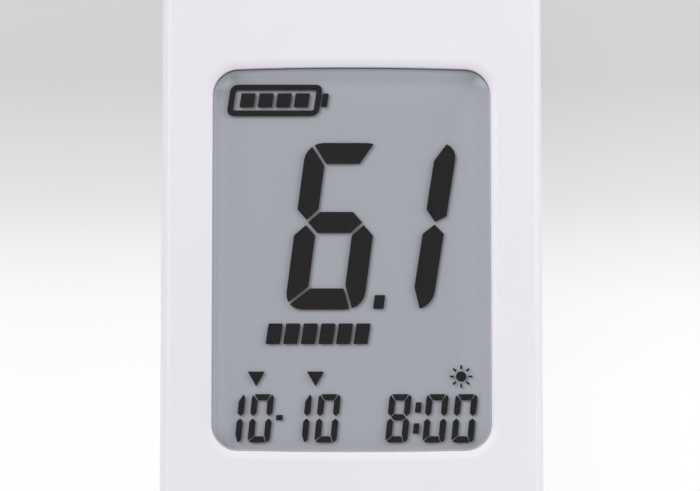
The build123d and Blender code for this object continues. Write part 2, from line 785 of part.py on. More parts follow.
with BuildPart() as strip_contacts:
    leaf_height = board_top + strip_contact_thickness / 2
    touch_height = strip_middle - strip_thickness / 2 - strip_contact_thickness / 2
    for index in range(strip_contact_count):
        spring_x = (index - (strip_contact_count - 1) / 2) * strip_contact_pitch
        with BuildSketch(Plane.YZ.offset(spring_x)) as spring:
            with BuildLine():
                Polyline((port_back - port_wall, leaf_height),
                         (port_back + 2 * port_wall, leaf_height),
                         (port_front - port_length / 3, touch_height),
                         (port_front - port_length / 6, leaf_height + strip_contact_thickness))
            trace(line_width=strip_contact_thickness)
        extrude(spring.sketch, amount=strip_contact_width / 2, both=True)
finish_part(strip_contacts, "strip_contacts")

with BuildPart() as strip_port_bezel:
    prism(grown(case_plan, -bezel_recess), bezel_low, bezel_low + bezel_height)
    block((-bezel_half_width, bezel_half_width), (bezel_flange_back, case_top),
          (bezel_low, bezel_low + bezel_height), Mode.INTERSECT)
    block((-bezel_flange_half, bezel_flange_half), (bezel_flange_back, bezel_flange_front),
          (bezel_low - bezel_flange_reach, bezel_low + bezel_height + bezel_flange_reach))
    block((-port_half_slot, port_half_slot), (bezel_flange_back, case_top),
          (port_slot_bottom, port_slot_top), Mode.SUBTRACT)
    mouth_face = strip_port_bezel.faces().sort_by(Axis.Y)[-1]
    chamfer(mouth_face.inner_wires()[0].edges(), bezel_mouth)
finish_part(strip_port_bezel, "strip_port_bezel")

# --- Data socket ----------------------------------------------------------------------
with BuildPart() as data_socket:
    block((socket_body_face, socket_body_face + socket_length),
          (socket_y - socket_width / 2, socket_y + socket_width / 2),
          (board_bottom - socket_height, board_bottom))
    with BuildSketch(Plane.YZ.offset(socket_face)) as nose:
        with Locations((socket_y, socket_middle)):
            Circle(socket_nose_radius)
    extrude(nose.sketch, amount=socket_body_face - socket_face)
    with BuildSketch(Plane.YZ.offset(socket_face)) as bore:
        with Locations((socket_y, socket_middle)):
            Circle(socket_bore_radius)
    extrude(bore.sketch, amount=socket_length, mode=Mode.SUBTRACT)
    with BuildSketch(Plane.YZ.offset(socket_face)) as sleeve_seat:
        with Locations((socket_y, socket_middle)):
            Circle(sleeve_radius + sleeve_clearance)
    extrude(sleeve_seat.sketch, amount=sleeve_length, mode=Mode.SUBTRACT)
finish_part(data_socket, "data_socket")

with BuildPart() as socket_sleeve:
    with BuildSketch(Plane.YZ.offset(socket_face)) as sleeve:
        with Locations((socket_y, socket_middle)):
            Circle(sleeve_radius)
            Circle(socket_bore_radius, mode=Mode.SUBTRACT)
    extrude(sleeve.sketch, amount=sleeve_length)
finish_part(socket_sleeve, "socket_sleeve")

# --- Screws, feet and label -----------------------------------------------------------
with BuildPart() as case_screws:
    cylinders(screw_places, screw_head_radius, screw_seat - screw_head_height, screw_seat)
    cylinders(screw_places, screw_radius, screw_seat, screw_end)
    for screw_x, screw_y in screw_places:
        slot_half = screw_head_radius - screw_slot_width
        slot_span = (screw_seat - screw_head_height,
                     screw_seat - screw_head_height + screw_slot_depth)
        bar = screw_slot_width / 2
        block((screw_x - slot_half, screw_x + slot_half), (screw_y - bar, screw_y + bar),
              slot_span, Mode.SUBTRACT)
        block((screw_x - bar, screw_x + bar), (screw_y - slot_half, screw_y + slot_half),
              slot_span, Mode.SUBTRACT)
finish_part(case_screws, "case_screws")

with BuildPart() as feet:
    cylinders(foot_places, foot_radius, 0, foot_seat)
    fillet(feet.edges().group_by(Axis.Z)[0], foot_edge_radius)
finish_part(feet, "feet")

with BuildPart() as back_label:
    prism(label_plan, back_face + label_recess - label_thickness, back_face + label_recess)
finish_part(back_label, "back_label")
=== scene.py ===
# %% [markdown]
# # Dressing a blood glucose meter
#
# The meter is a flat white handset: a glossy two-part case, a clear window over a liquid crystal
# display, three keys under it, a port for the test strip at the top, and a battery door behind.
# Its solids come in ready made, all in one frame. This lesson gives them their edges, their
# finishes, the display's marks, and the light. Lengths are metres, so a small helper turns
# millimetres into them.

# %% Load the solids
from math import cos, pi, radians, sin

import bmesh
import bpy
from mathutils import Matrix, Vector


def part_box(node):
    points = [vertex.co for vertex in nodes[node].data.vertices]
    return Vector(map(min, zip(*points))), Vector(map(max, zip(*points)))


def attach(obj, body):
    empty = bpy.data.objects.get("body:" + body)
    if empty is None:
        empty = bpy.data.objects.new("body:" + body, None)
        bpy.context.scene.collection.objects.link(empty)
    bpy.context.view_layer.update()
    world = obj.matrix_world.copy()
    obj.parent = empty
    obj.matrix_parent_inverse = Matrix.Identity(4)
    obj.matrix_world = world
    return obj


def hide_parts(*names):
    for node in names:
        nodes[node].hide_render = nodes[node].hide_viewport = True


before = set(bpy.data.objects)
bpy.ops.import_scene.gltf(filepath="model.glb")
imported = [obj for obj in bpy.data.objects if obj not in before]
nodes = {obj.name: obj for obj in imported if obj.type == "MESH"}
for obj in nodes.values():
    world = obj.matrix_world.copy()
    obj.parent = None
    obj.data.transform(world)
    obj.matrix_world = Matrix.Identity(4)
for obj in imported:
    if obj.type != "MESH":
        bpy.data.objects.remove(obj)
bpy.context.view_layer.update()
MM = 0.001

# %% [markdown]
# ## The view
#
# A long lens looks almost straight down on the window, from a little below it. A long lens keeps
# the case's sides nearly parallel, as they look in the hand at arm's length. The camera could be
# aimed with a constraint. Here its place and its turn come from one angle, which is easier to read.

# %% Camera
VIEW_TILT = radians(4.85)
VIEW_DISTANCE = 320 * MM
VIEW_TARGET = Vector((-0.195 * MM, 8.28 * MM, 18.5 * MM))
camera_data = bpy.data.cameras.new("view")
camera_data.lens = 136.8
camera_data.sensor_width = 36
camera_data.clip_start = 0.01
camera = bpy.data.objects.new("view", camera_data)
bpy.context.scene.collection.objects.link(camera)
camera.location = VIEW_TARGET + VIEW_DISTANCE * Vector((0, -sin(VIEW_TILT), cos(VIEW_TILT)))
camera.rotation_euler = (VIEW_TILT, 0, 0)
bpy.context.scene.camera = camera
print("camera at", [round(value / MM, 1) for value in camera.location])

# %% [markdown]
# ## Light
#
# Gloss shows whatever surrounds it, so a white glossy case wants large, soft and even light. A
# pale world gives nearly half of it from all round. A wide lamp far off, up beyond the top left,
# gives as much again, and the window's upper rim and the display's marks throw soft shadows
# downwards and to the right by it. A small lamp low on the right fills the side that the first
# one leaves dark, so both long edges of the case look equally light.

# %% World and lamps
WORLD_TINT = (0.97, 0.97, 1.0)
WORLD_STRENGTH = 0.455
scene = bpy.context.scene
scene.view_settings.view_transform = "Standard"
world = bpy.data.worlds.new("studio")
world.use_nodes = True
background = world.node_tree.nodes["Background"]
background.inputs["Color"].default_value = (*WORLD_TINT, 1)
background.inputs["Strength"].default_value = WORLD_STRENGTH
scene.world = world


def soft_lamp(name, toward, distance, size, power):
    """A square lamp in the direction toward from the window, which it faces."""
    lamp_data = bpy.data.lights.new(name, "AREA")
    lamp_data.size = size
    lamp_data.energy = power
    lamp = bpy.data.objects.new(name, lamp_data)
    scene.collection.objects.link(lamp)
    lamp.location = VIEW_TARGET + Vector(toward).normalized() * distance
    lamp.rotation_euler = (lamp.location - VIEW_TARGET).to_track_quat("Z", "Y").to_euler()
    return lamp


top_lamp = soft_lamp("top_lamp", toward=(-0.66, 0.44, 1.0), distance=1.50, size=1.00, power=12.6)
side_lamp = soft_lamp("side_lamp", toward=(1.0, 0.28, 0.52), distance=0.30, size=0.26, power=0.42)
print("lamp powers", top_lamp.data.energy, side_lamp.data.energy)

# %% [markdown]
# ## Finishes from nodes
#
# A finish is a small tree of nodes: a Principled shader, and noises that read the piece's own
# Object coordinates. Those coordinates are metres here, so a noise's scale is one over the size
# of its grain. The broad noise shifts the colour and the gloss by a few percent, as moulding and
# handling do. The fine noise goes to a Bump node, which is how a surface catches light unevenly.

# %% Node helpers
NOISE_LOW, NOISE_HIGH = 0.3, 0.7
MIX_FIRST, MIX_SECOND, MIX_RESULT = 6, 7, 2  # the colour sockets of a Mix node


def add_node(tree, kind, **settings):
    """A new node with some of its inputs or properties set by name."""
    node = tree.nodes.new(kind)
    for name, value in settings.items():
        socket = name.replace("_", " ")
        if socket in node.inputs:
            node.inputs[socket].default_value = value
        else:
            setattr(node, name, value)
    return node


def new_finish(name):
    """A material with its tree, its Principled shader and its Object coordinates."""
    finish = bpy.data.materials.new(name)
    finish.use_nodes = True
    tree = finish.node_tree
    place = add_node(tree, "ShaderNodeTexCoord").outputs["Object"]
    return finish, tree, tree.nodes["Principled BSDF"], place


def noise(tree, place, grain, detail=3.0):
    """Noise whose features are about grain wide, in metres."""
    node = add_node(tree, "ShaderNodeTexNoise", Scale=1 / grain, Detail=detail)
    tree.links.new(place, node.inputs["Vector"])
    return node.outputs["Fac"]


def ramp(tree, value, start, end, low=0.0, high=1.0):
    """Map a value onto low to high while it goes from start to end, and hold it beyond them."""
    node = add_node(tree, "ShaderNodeMapRange")
    for socket, number in (("From Min", start), ("From Max", end),
                           ("To Min", low), ("To Max", high)):
        node.inputs[socket].default_value = number
    tree.links.new(value, node.inputs["Value"])
    return node.outputs["Result"]


def spread(tree, value, low, high):
    """Map a noise, which mostly keeps to the middle of its range, onto low to high."""
    return ramp(tree, value, NOISE_LOW, NOISE_HIGH, low, high)


def calculate(tree, operation, first, second):
    """One sum on two values, each a socket or a number."""
    node = add_node(tree, "ShaderNodeMath", operation=operation)
    for socket, value in zip(node.inputs, (first, second)):
        if isinstance(value, bpy.types.NodeSocket):
            tree.links.new(value, socket)
        else:
            socket.default_value = value
    return node.outputs["Value"]


def axes(tree, place):
    """The X, Y and Z of a place, as three sockets."""
    node = add_node(tree, "ShaderNodeSeparateXYZ")
    tree.links.new(place, node.inputs["Vector"])
    return node.outputs


def blend_colours(tree, share, first, second):
    """A colour between two, by a share from 0 to 1."""
    node = add_node(tree, "ShaderNodeMix", data_type="RGBA")
    tree.links.new(share, node.inputs["Factor"])
    for socket, colour in ((node.inputs[MIX_FIRST], first), (node.inputs[MIX_SECOND], second)):
        if isinstance(colour, bpy.types.NodeSocket):
            tree.links.new(colour, socket)
        else:
            socket.default_value = (*colour, 1)
    return node.outputs[MIX_RESULT]


def roughen(tree, shader, height, depth, strength=1.0):
    """Bump a shader by a height pattern that stands depth high, in metres."""
    node = add_node(tree, "ShaderNodeBump", Strength=strength, Distance=depth)
    tree.links.new(height, node.inputs["Height"])
    tree.links.new(node.outputs["Normal"], shader.inputs["Normal"])


# %% White plastic of the case
GLOSS_SWING = 0.06


def moulded(name, colour, gloss, grain=0.6 * MM, depth=0.002 * MM, drift=0.02, broad=14 * MM):
    """Moulded plastic: gloss is its roughness, and drift how far its colour wanders."""
    finish, tree, shader, place = new_finish(name)
    wander = spread(tree, noise(tree, place, broad, 2), 0, 1)
    darker = tuple(channel * (1 - drift) for channel in colour)
    tree.links.new(blend_colours(tree, wander, darker, colour), shader.inputs["Base Color"])
    patches = spread(tree, noise(tree, place, broad / 2, 1),
                     gloss * (1 - GLOSS_SWING), gloss * (1 + GLOSS_SWING))
    tree.links.new(patches, shader.inputs["Roughness"])
    roughen(tree, shader, noise(tree, place, grain, 2), depth)
    return finish


case_white = moulded("case_white", (0.834, 0.815, 0.846), 0.26, grain=1.2 * MM)
case_white.node_tree.nodes["Principled BSDF"].inputs["Specular IOR Level"].default_value = 0.25
print("first finish", case_white.name)

# %% [markdown]
# ## Edges
#
# The solids have knife edges where real mouldings have small roundings, and it is those roundings
# that catch the light. Each outer piece is copied from its solid. The copy's loose triangles are
# merged, flat ones are dissolved into larger faces, and the sharp edges are bevelled. A Weighted
# Normal modifier then keeps the large faces flat in the shading.

# %% Copy a solid and soften its edges
SAME_POINT = 1e-7
SAME_HEIGHT = 0.002 * MM
CREASE_ANGLE = 35  # degrees


def copy_of(node, flat=0.05):
    """A merged bmesh copy of a solid, with triangles joined that turn less than flat degrees."""
    shape = bmesh.new()
    shape.from_mesh(nodes[node].data)
    bmesh.ops.remove_doubles(shape, verts=shape.verts, dist=SAME_POINT)
    loose = len(shape.faces)
    bmesh.ops.dissolve_limit(shape, angle_limit=radians(flat), verts=shape.verts,
                             edges=shape.edges, delimit={"SHARP"})
    print(node, "triangles", loose, "faces", len(shape.faces))
    return shape


def soften(shape, width, heights=None, angle=40, steps=2):
    """Round the sharp outward edges, or only those that lie at one of the heights.

    With heights given the rounding is hair-fine, and its border stays a crease, so that it
    doesn't tint the wide faces beside it.
    """
    edges = [edge for edge in shape.edges
             if edge.is_manifold and edge.is_convex and edge.calc_face_angle(0) > radians(angle)]
    if heights is not None:
        edges = [edge for edge in edges
                 if any(all(abs(vert.co.z - height) < SAME_HEIGHT for vert in edge.verts)
                        for height in heights)]
    rounding = bmesh.ops.bevel(shape, geom=edges, offset=width, offset_type="OFFSET",
                               segments=steps, profile=0.5, affect="EDGES", clamp_overlap=True,
                               material=-1)
    if heights is not None:
        new_faces = set(rounding["faces"])
        for edge in {edge for face in new_faces for edge in face.edges}:
            edge.smooth = all(face in new_faces for face in edge.link_faces)
    open_edges = sum(not edge.is_manifold for edge in shape.edges)
    print("rounded", len(edges), "edges, open ones left", open_edges)
    return shape


def to_piece(shape, name, body, finish, stands_for=()):
    """Turn a bmesh into a smooth-shaded piece with its creases marked, that rides on a body."""
    for edge in shape.edges:
        if edge.calc_face_angle(0) > radians(CREASE_ANGLE):
            edge.smooth = False
    mesh = bpy.data.meshes.new(name)
    shape.to_mesh(mesh)
    shape.free()
    mesh.polygons.foreach_set("use_smooth", [True] * len(mesh.polygons))
    piece = bpy.data.objects.new(name, mesh)
    scene.collection.objects.link(piece)
    for part in (finish if isinstance(finish, (list, tuple)) else [finish]):
        mesh.materials.append(part)
    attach(piece, body)
    if stands_for:
        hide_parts(*stands_for)
    return piece


def keep_flats(piece):
    """Let the largest faces decide the normals of the edges that they share."""
    weighted = piece.modifiers.new("flat faces", "WEIGHTED_NORMAL")
    weighted.keep_sharp = True
    weighted.weight = 90
    return piece


# %% [markdown]
# ## Front shell
#
# The front of the case is one white moulding. Round the window its surface dips, slowly at first
# and then more steeply, which shows as a soft grey band along the window's upper edge and a
# bright one along the lower. The solid has a plain slope there. The slope's faces are taken out
# and the two open loops bridged again, so that every cross edge runs from rim to face. The cross
# edges are subdivided, and each new ring is set to the height that the curve of the dip asks for.
# The rim ends a hair lower than the solid's, which makes the dip steeper at its end and the step
# down to the lens lower.

# %% Shape the front shell
front_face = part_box("front_housing")[1].z
lens_low, lens_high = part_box("display_lens")
DISH_DEPTH = 0.25 * MM
DISH_RINGS = 7
DISH_CURVE = 1.7
RIM_DROP = 0.08 * MM
DISH_SLACK = 1e-4  # of the dish's depth
RIM_ROUNDING = 0.06 * MM
EDGE_ROUNDING = 0.10 * MM
SEAM_HEIGHT = 10.5 * MM
LEVEL = 0.9999  # a level face's normal has more than this in Z
SLOPE_LEAST = 0.5  # and a face of the slope more than this


def over_lens(point):
    """Whether a point lies within the lens's outline, seen from the front."""
    return lens_low.x < point.x < lens_high.x and lens_low.y < point.y < lens_high.y


shell = copy_of("front_housing")
rim_height = front_face - DISH_DEPTH
slope_faces = []
for face in shell.faces:
    middle = face.calc_center_median()
    if (over_lens(middle) and rim_height < middle.z < front_face
            and SLOPE_LEAST < face.normal.z < LEVEL):
        slope_faces.append(face)
bmesh.ops.delete(shell, geom=slope_faces, context="FACES")
loops = [edge for edge in shell.edges if edge.is_boundary]
bridge = bmesh.ops.bridge_loops(shell, edges=loops)
print("slope faces out", len(slope_faces), "bridge faces in", len(bridge["faces"]))
bmesh.ops.subdivide_edges(shell, edges=bridge["edges"], cuts=DISH_RINGS, use_grid_fill=True)
for vert in shell.verts:
    down = (front_face - vert.co.z) / DISH_DEPTH
    if over_lens(vert.co) and DISH_SLACK < down < 1 + DISH_SLACK:
        vert.co.z = front_face - (DISH_DEPTH + RIM_DROP) * down ** DISH_CURVE
soften(shell, RIM_ROUNDING, (rim_height - RIM_DROP,))
soften(shell, EDGE_ROUNDING, (front_face, SEAM_HEIGHT))
front_shell = to_piece(shell, "front_shell", "case", case_white, ("front_housing",))
keep_flats(front_shell)
print("front shell faces", len(front_shell.data.polygons))

# %% [markdown]
# ## Back shell and battery door
#
# The back is a second white moulding with the battery door let into it. Both are the same plastic
# as the front. Their outer edges are softened a little, so that the seam between the two shells
# and the gap round the door show as two soft edges with a dark line between them.

# %% Shape the back shell and the door
back_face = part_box("back_housing")[0].z
back = soften(copy_of("back_housing"), EDGE_ROUNDING, (back_face, SEAM_HEIGHT))
back_shell = keep_flats(to_piece(back, "back_shell", "case", case_white,
                                 ("back_housing",)))
door = soften(copy_of("battery_door"), EDGE_ROUNDING, (back_face,))
door_panel = keep_flats(to_piece(door, "door_panel", "battery_door", case_white,
                                 ("battery_door",)))
print("back shell faces", len(back_shell.data.polygons),
      "door faces", len(door_panel.data.polygons))

# %% [markdown]
# ## Floor
#
# The meter lies on a plain pale sheet that runs from light grey beyond the top end to white near
# the keys. The camera sees mostly the sheet's own tone. A share of it stays a diffuse surface, so
# that the case keeps a faint shadow on it.

# %% Floor
FLOOR_HEIGHT = -0.05 * MM
FLOOR_REACH = 1.5
floor_shape = bmesh.new()
bmesh.ops.create_grid(floor_shape, x_segments=1, y_segments=1, size=FLOOR_REACH)
floor_mesh = bpy.data.meshes.new("floor")
floor_shape.to_mesh(floor_mesh)
floor_shape.free()
floor = bpy.data.objects.new("floor", floor_mesh)
floor.location.z = FLOOR_HEIGHT
scene.collection.objects.link(floor)
print("floor at", FLOOR_HEIGHT / MM, "mm")

# %% Floor finish
GLOW_SHARE = 0.9
FLOOR_TONES = (  # place along the meter in millimetres, and how light the sheet is there
    (-8.5, 1.0), (2.9, 0.965), (10.5, 0.875), (15.7, 0.79), (31.0, 0.655))
sheet, tree, shader, place = new_finish("pale_sheet")
nearest, farthest = FLOOR_TONES[0][0], FLOOR_TONES[-1][0]
along = ramp(tree, axes(tree, place)["Y"], nearest * MM, farthest * MM)
tones = add_node(tree, "ShaderNodeValToRGB")
tree.links.new(along, tones.inputs["Fac"])
for index, (y, tone) in enumerate(FLOOR_TONES):
    position = (y - nearest) / (farthest - nearest)
    if 0 < index < len(FLOOR_TONES) - 1:
        stop = tones.color_ramp.elements.new(position)
    else:
        stop = tones.color_ramp.elements[0 if index == 0 else -1]
        stop.position = position
    stop.color = (tone, tone, tone, 1)
tree.links.new(tones.outputs["Color"], shader.inputs["Base Color"])
shader.inputs["Roughness"].default_value = 0.8
glow = add_node(tree, "ShaderNodeEmission")
tree.links.new(tones.outputs["Color"], glow.inputs["Color"])
seen = add_node(tree, "ShaderNodeLightPath").outputs["Is Camera Ray"]
mixed = add_node(tree, "ShaderNodeMixShader")
tree.links.new(calculate(tree, "MULTIPLY", seen, GLOW_SHARE), mixed.inputs["Fac"])
tree.links.new(shader.outputs["BSDF"], mixed.inputs[1])
tree.links.new(glow.outputs["Emission"], mixed.inputs[2])
tree.links.new(mixed.outputs["Shader"], tree.nodes["Material Output"].inputs["Surface"])
floor_mesh.materials.append(sheet)
print("floor tones", len(FLOOR_TONES), "from", nearest, "to", farthest, "mm")

# %% [markdown]
# ## Display
#
# A reflective liquid crystal display is a sandwich: a polariser, two thin glasses with the liquid
# between them, and a grey reflector behind. The glass is clear, so the grey is what shows. The
# marks are dark where the liquid is switched on, just above the grey, and so they throw small
# shadows on it.
#
# The wall round the window shades the grey beside it. A real lens guides light in under its rim,
# so that shade is faint, and the clear pieces here don't do that. The grey is therefore painted
# lighter near each side, by an amount that fades inwards, and at the two upper corners, where the
# shade of two walls adds up: painted light in place of the light that a real lens brings in. The
# upper wall is bowed, and lies nearer the meter's top end in the middle than at the corners. So
# its painted light is measured along a way called up, which is Y with that bow taken out. More
# light could also come from thinner walls, but then the meter would no longer be built like a real
# one.

# %% Where the grey is painted lighter under the rims
GROUND = (0.386, 0.401, 0.432)
# Painted light: near the rims the grey is painted up to this many times lighter.
MOST_PAINTED_LIGHT = 2.3
PAINTED_LIGHT_GREY = tuple(MOST_PAINTED_LIGHT * tone for tone in GROUND)
FLANGE = 1.5 * MM
WINDOW_ROUND = 3.2 * MM
TOP_BOW = 0.36 * MM
# Painted light: how much lighter the grey is painted near each side of the window.
RIMS = (  # side, way across it, where it is, the way in, how far light reaches, strength, curve
    ("left", "X", lens_low.x + FLANGE, 1, 3.00 * MM, 1.24, 3.1),
    ("right", "X", lens_high.x - FLANGE, -1, 5.60 * MM, 0.38, 2.1),
    ("top", "up", lens_high.y - FLANGE, -1, 3.40 * MM, 1.70, 6.0),
    ("far top", "up", lens_high.y - FLANGE, -1, 5.60 * MM, 0.125, 1.5),
    ("bottom", "Y", lens_low.y + FLANGE, 1, 0.95 * MM, 0.20, 1.5),
)
# Painted light: how much lighter the grey is painted in the two upper corners.
CORNERS = (  # side, where the edge is, the way in, strength, curve
    ("left", lens_low.x + FLANGE, 1, 2.4, 1.9),
    ("right", lens_high.x - FLANGE, -1, 1.1, 1.9),
)
display_grey, tree, shader, place = new_finish("display_grey")
across = axes(tree, place)
half_window = (lens_high.x - lens_low.x) / 2 - FLANGE
sag = calculate(tree, "MULTIPLY", calculate(tree, "POWER", across["X"], 2.0),
                TOP_BOW / half_window ** 2)
ways = {"X": across["X"], "Y": across["Y"], "up": calculate(tree, "ADD", across["Y"], sag)}
print("half of the window's width in mm", round(half_window / MM, 2))

# %% Grey ground of the display
def painted_light_by(tree, near, curve, strength):
    """How much lighter the grey is where near is a share from 0 to 1."""
    return calculate(tree, "MULTIPLY", calculate(tree, "POWER", near, curve), strength)


# Painted light: the grey is made lighter where the rims and the upper corners shade it.
painted_rim_light = 0.0
for name, way, edge, inward, reach, strength, curve in RIMS:
    near = ramp(tree, ways[way], edge + inward * reach, edge)
    painted_rim_light = calculate(tree, "MAXIMUM", painted_rim_light, painted_light_by(tree, near, curve, strength))
    print("light under the rim, side", name, "from", round(edge / MM, 2))
upper_edge = lens_high.y - FLANGE
for name, edge, inward, strength, curve in CORNERS:
    sideways = ramp(tree, ways["X"], edge + inward * WINDOW_ROUND, edge)
    upward = ramp(tree, ways["up"], upper_edge - WINDOW_ROUND, upper_edge)
    # Halfway round a corner both shares are 0.71, so twice their product is 1 there.
    near = calculate(tree, "MULTIPLY", calculate(tree, "MULTIPLY", sideways, upward), 2.0)
    painted_rim_light = calculate(tree, "MAXIMUM", painted_rim_light, painted_light_by(tree, near, curve, strength))
    print("light in the upper corner, side", name)
tree.links.new(blend_colours(tree, painted_rim_light, GROUND, PAINTED_LIGHT_GREY), shader.inputs["Base Color"])
dull = spread(tree, noise(tree, place, 0.05 * MM, 2), 0.42, 0.55)
tree.links.new(dull, shader.inputs["Roughness"])
shader.inputs["Specular IOR Level"].default_value = 0.2
roughen(tree, shader, noise(tree, place, 0.04 * MM, 2), 0.001 * MM)


# %% Clear lens and films
SLANT_CURVE = 5.0
SLANT_MIRROR = 0.9


def clear_finish(name, tint, gloss, mirrored):
    """Clear sheet that mirrors a share of the light head on, and more at a slant."""
    finish, tree, _, place = new_finish(name)
    through = add_node(tree, "ShaderNodeBsdfTransparent", Color=(*tint, 1))
    mirror = add_node(tree, "ShaderNodeBsdfAnisotropic")
    tree.links.new(spread(tree, noise(tree, place, 2 * MM, 3), gloss * 0.8, gloss * 1.2),
                   mirror.inputs["Roughness"])
    slant = add_node(tree, "ShaderNodeLayerWeight", Blend=0.5).outputs["Facing"]
    steep = calculate(tree, "POWER", slant, SLANT_CURVE)
    share = calculate(tree, "ADD", calculate(tree, "MULTIPLY", steep, SLANT_MIRROR), mirrored)
    join = add_node(tree, "ShaderNodeMixShader")
    tree.links.new(share, join.inputs["Fac"])
    tree.links.new(through.outputs["BSDF"], join.inputs[1])
    tree.links.new(mirror.outputs["BSDF"], join.inputs[2])
    tree.links.new(join.outputs["Shader"], tree.nodes["Material Output"].inputs["Surface"])
    return finish


clear_lens = clear_finish("clear_lens", tint=(0.985, 0.985, 0.99), gloss=0.05, mirrored=0.004)
clear_film = clear_finish("clear_film", tint=(1, 1, 1), gloss=0.03, mirrored=0.001)
print("clear finishes", clear_lens.name, clear_film.name)

# %% [markdown]
# Light bends as it enters the lens and the glass, so the grey looks about a third nearer than it
# is. The clear pieces here don't bend light. The back pane therefore carries the grey itself, at
# the height where it appears, and the foil behind it matches. Each sheet's copy is a hair thinner
# than its solid, because two faces at one height would flicker.

# %% Display panes and films
SHEET_GAP = 0.01 * MM


def slim_sheet(node, name, finish):
    """A copy of a flat sheet that is a hair thinner on both faces."""
    sheet_shape = copy_of(node)
    low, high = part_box(node)
    for vert in sheet_shape.verts:
        vert.co.z += SHEET_GAP if vert.co.z < (low.z + high.z) / 2 else -SHEET_GAP
    piece = to_piece(sheet_shape, name, "case", finish, (node,))
    print(name, "thickness in mm", round((high.z - low.z - 2 * SHEET_GAP) / MM, 3))
    return piece


polariser = slim_sheet("front_polariser", "polariser_sheet", clear_film)
front_pane = slim_sheet("front_glass", "front_pane", clear_film)
slim_sheet("back_glass", "back_pane", display_grey)
slim_sheet("reflector", "reflector_foil", display_grey)

# %% [markdown]
# ## Lens
#
# The lens is a clear moulding whose cut edge shows as a fine line all round. Its finish paints the
# light and shade that the edge shows on each side: painted shade, nearly black, at the top, where
# it looks into the wall's shade, and painted light, pale, on the right and below. One finish holds
# the four painted tones. It runs from the left one to the right one across the window, and changes
# to those of the top and the bottom near the corners.
# The clear pieces throw no shadow and stay out of diffuse light, or they would darken the grey.

# %% Lens
CUT_EDGE_DEPTH = 0.2 * MM
CUT_EDGE_LEAST, CUT_EDGE_MOST = 0.2, 0.95  # how much of its normal is in Z
# Painted shade and light on the lens's cut edge: dark at the top, pale to the right and below.
PAINTED_EDGE_LEFT = (0.36, 0.37, 0.39)
PAINTED_EDGE_TONES = (  # axis, where a tone begins, where it is full, the tone
    ("X", lens_low.x + FLANGE, lens_high.x - FLANGE, (0.62, 0.63, 0.65)),
    ("Y", lens_low.y + FLANGE + 3.0 * MM, lens_low.y + FLANGE + 0.3 * MM, (0.60, 0.61, 0.63)),
    ("Y", lens_high.y - FLANGE - 3.2 * MM, lens_high.y - FLANGE - 1.3 * MM, (0.055, 0.056, 0.060)),
)
# This finish paints the edge's shade and light by where each face lies.
lens_edge_painted_light_shade, tree, shader, place = new_finish("lens_edge_painted_light_shade")
across = axes(tree, place)
painted_edge_tone = PAINTED_EDGE_LEFT
for axis, start, end, tone in PAINTED_EDGE_TONES:
    painted_edge_tone = blend_colours(tree, ramp(tree, across[axis], start, end), painted_edge_tone, tone)
tree.links.new(painted_edge_tone, shader.inputs["Base Color"])
tree.links.new(spread(tree, noise(tree, place, 0.1 * MM, 2), 0.3, 0.45), shader.inputs["Roughness"])
roughen(tree, shader, noise(tree, place, 0.08 * MM, 2), 0.001 * MM)
lens = to_piece(copy_of("display_lens"), "lens", "case", (clear_lens, lens_edge_painted_light_shade),
                ("display_lens",))
cut_faces = [face for face in lens.data.polygons
             if CUT_EDGE_LEAST < face.normal.z < CUT_EDGE_MOST
             and face.center.z > lens_high.z - CUT_EDGE_DEPTH]
for face in cut_faces:
    face.material_index = 1
for clear in (lens, polariser, front_pane):
    clear.visible_shadow = False
    clear.visible_diffuse = False
print("faces of the lens's cut edge", len(cut_faces))

# %% [markdown]
# ## Marks on the display
#
# Every mark is a flat electrode of its own with narrow gaps round it, which is why the digits
# fall into pieces. A digit begins as a rounded panel. Each of its seven segments is what is left
# of that panel between a few straight cuts, so the outer corners stay round and the gaps run at
# the slope that the cuts are given. All the marks lean a little to the right. The small figures
# are the same design at a smaller size.

# %% Cut the segments of a digit
MARK_THICKNESS = 0.01 * MM
MARK_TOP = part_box("front_glass")[1].z + MARK_THICKNESS / 2


def rounded_panel(width, height, radius, segments=5):
    """A flat rectangle round the origin with rounded corners."""
    shape = bmesh.new()
    bmesh.ops.create_grid(shape, x_segments=1, y_segments=1, size=0.5)
    bmesh.ops.scale(shape, vec=(width, height, 1), verts=shape.verts)
    bmesh.ops.bevel(shape, geom=shape.verts[:], offset=radius, segments=segments, profile=0.5,
                    affect="VERTICES", material=-1)
    return shape


def keep_side(shape, point, toward):
    """Cut a flat shape along the line through point, and keep the side that toward points to."""
    everything = shape.verts[:] + shape.edges[:] + shape.faces[:]
    bmesh.ops.bisect_plane(shape, geom=everything, dist=1e-9, plane_co=(*point, 0),
                           plane_no=(*toward, 0), clear_inner=True)


CORNER_SLOPES = {(-1, 1): radians(53), (1, 1): radians(60),
                 (1, -1): radians(68), (-1, -1): radians(41)}
STROKES = {"a": (0, 1), "b": (1, 1), "c": (1, -1), "d": (0, -1),  # side across, and place up
           "e": (-1, -1), "f": (-1, 1), "g": (0, 0)}
LIT = {"0": "abcdef", "1": "bc", "6": "acdefg", "8": "abcdefg"}
MIDDLE_RISE = 0.043  # of half the height, by which the middle bar stands above the middle
BAR_CLEARANCE = 0.7  # of a gap, by which the bar's tips keep off the side strokes
EVEN_TIP = radians(45)


